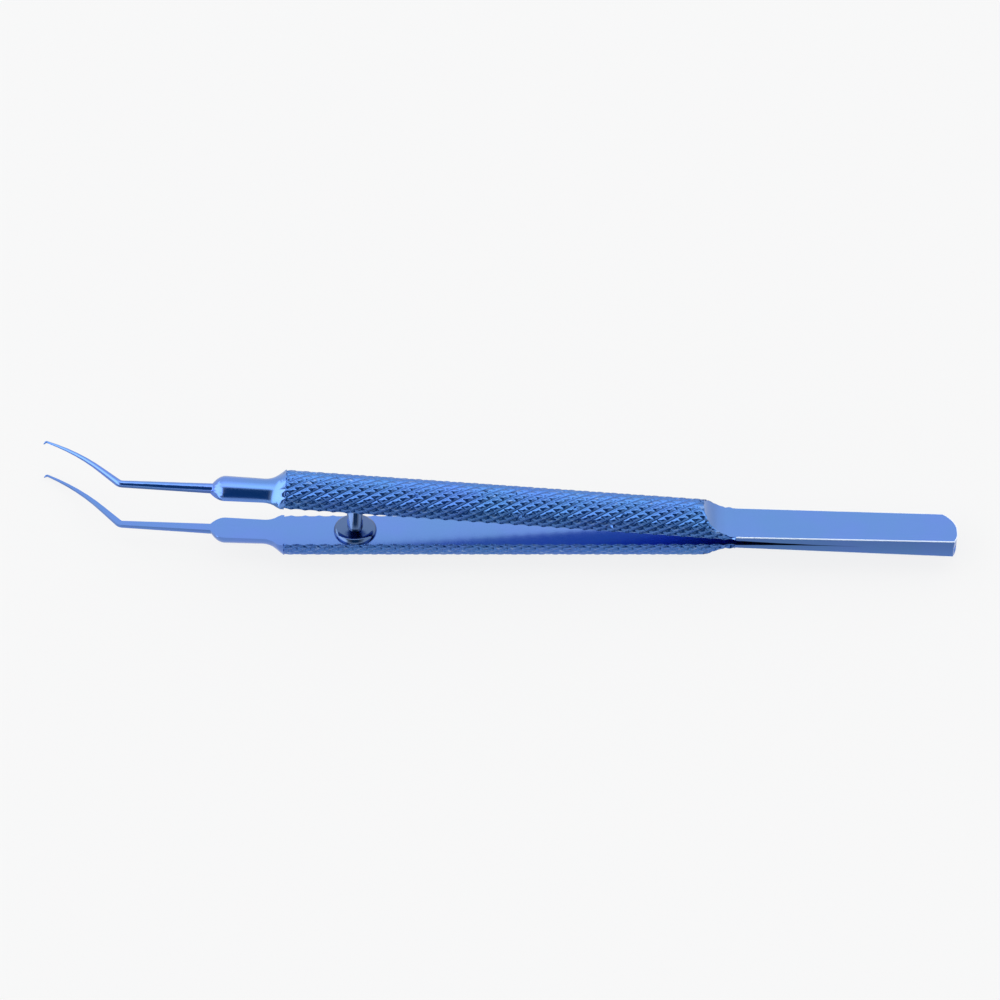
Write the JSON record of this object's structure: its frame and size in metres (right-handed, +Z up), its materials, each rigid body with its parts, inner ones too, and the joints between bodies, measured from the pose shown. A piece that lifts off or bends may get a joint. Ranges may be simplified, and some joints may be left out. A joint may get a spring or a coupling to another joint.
{
  "type": "capsulorhexis forceps",
  "caption": "Spring-handled eye surgery forceps with a round knurled grip and bent, curved, fine hooked tips, in blue anodised titanium.",
  "frame": {"origin": "middle of the bounding box at the level of the surface it lies on", "axes": "+X from the tips towards the tail, +Z up with the forceps lying at rest, +Y to the side the blades bend to"},
  "size_m": [0.1102, 0.014, 0.011],
  "materials": {
    "lower_arm": "blue anodised titanium, satin",
    "upper_arm": "blue anodised titanium, satin",
    "guide_pin": "blue anodised titanium, turned and polished"
  },
  "bodies": {
    "lower_body": {"lower_arm": "lower_arm", "guide_pin": "guide_pin"},
    "upper_body": {"upper_arm": "upper_arm"}
  },
  "joints": [
    {"name": "arm_flex", "type": "hinge", "parent": "lower_body", "child": "upper_body", "pos_m": [0.03606, -0.00376, 0.00302], "axis": [0.0001, -0.8637, 0.504], "range_deg": [0, 3.25], "stiffness_Nm_per_rad": 0.4}
  ]
}
